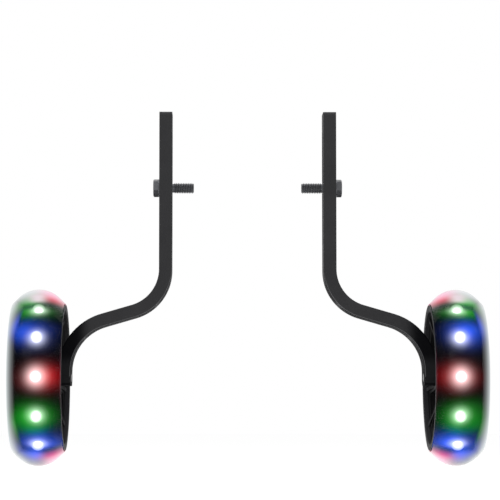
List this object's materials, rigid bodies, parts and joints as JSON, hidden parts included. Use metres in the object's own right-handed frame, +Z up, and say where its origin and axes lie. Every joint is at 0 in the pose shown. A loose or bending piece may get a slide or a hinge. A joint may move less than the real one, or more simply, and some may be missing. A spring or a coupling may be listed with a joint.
{
  "type": "bicycle training wheels",
  "caption": "Pair of bicycle training wheels: bent flat-steel arms with height slots, moulded hubs and clear crowned tyres with coloured lamps inside.",
  "frame": {"origin": "midway between the two mounting bolts, on their common axis", "axes": "+X along the mounting bolts to the right wheel, +Z up the arms"},
  "size_m": [0.3466, 0.13, 0.2615],
  "materials": {
    "painted_steel": "satin black paint",
    "blackened_steel": "black zinc plate",
    "bright_steel": "ground steel",
    "sintered_magnet": "sintered",
    "copper_winding": "enamelled copper wire",
    "hub_plastic": "fine moulded texture",
    "clear_urethane": "clear cast polyurethane",
    "strip_board": "black flexible circuit",
    "red_lamp": "lit lamp",
    "green_lamp": "lit lamp",
    "blue_lamp": "lit lamp"
  },
  "bodies": {
    "mounting_fixings": {"left_mounting_bolt": "blackened_steel", "left_mounting_washer": "blackened_steel", "right_mounting_bolt": "blackened_steel", "right_mounting_washer": "blackened_steel"},
    "left_arm_body": {"left_arm": "painted_steel", "left_wheel_axle": "bright_steel", "left_inner_bearing_inner_race": "bright_steel", "left_outer_bearing_inner_race": "bright_steel", "left_magnet": "sintered_magnet", "left_axle_washer": "bright_steel", "left_lock_nut": "bright_steel"},
    "left_wheel_body": {"left_inner_bearing_outer_race": "bright_steel", "left_inner_bearing_shields": "bright_steel", "left_outer_bearing_outer_race": "bright_steel", "left_outer_bearing_shields": "bright_steel", "left_coil": "copper_winding", "left_hub": "hub_plastic", "left_hub_cap": "hub_plastic", "left_tyre": "clear_urethane", "left_lamp_strip": "strip_board", "left_red_lamps": "red_lamp", "left_green_lamps": "green_lamp", "left_blue_lamps": "blue_lamp"},
    "right_arm_body": {"right_arm": "painted_steel", "right_wheel_axle": "bright_steel", "right_inner_bearing_inner_race": "bright_steel", "right_outer_bearing_inner_race": "bright_steel", "right_magnet": "sintered_magnet", "right_axle_washer": "bright_steel", "right_lock_nut": "bright_steel"},
    "right_wheel_body": {"right_inner_bearing_outer_race": "bright_steel", "right_inner_bearing_shields": "bright_steel", "right_outer_bearing_outer_race": "bright_steel", "right_outer_bearing_shields": "bright_steel", "right_coil": "copper_winding", "right_hub": "hub_plastic", "right_hub_cap": "hub_plastic", "right_tyre": "clear_urethane", "right_lamp_strip": "strip_board", "right_red_lamps": "red_lamp", "right_green_lamps": "green_lamp", "right_blue_lamps": "blue_lamp"}
  },
  "joints": [
    {"name": "left_arm_height", "type": "slide", "parent": "mounting_fixings", "child": "left_arm_body", "axis": [0, 0, 1], "range_m": [-0.038, 0.038]},
    {"name": "left_wheel_spin", "type": "hinge", "parent": "left_arm_body", "child": "left_wheel_body", "pos_m": [-0.1538, 0, -0.1405], "axis": [1, 0, 0], "continuous": true},
    {"name": "right_arm_height", "type": "slide", "parent": "mounting_fixings", "child": "right_arm_body", "axis": [0, 0, 1], "range_m": [-0.038, 0.038]},
    {"name": "right_wheel_spin", "type": "hinge", "parent": "right_arm_body", "child": "right_wheel_body", "pos_m": [0.1538, 0, -0.1405], "axis": [1, 0, 0], "continuous": true}
  ]
}
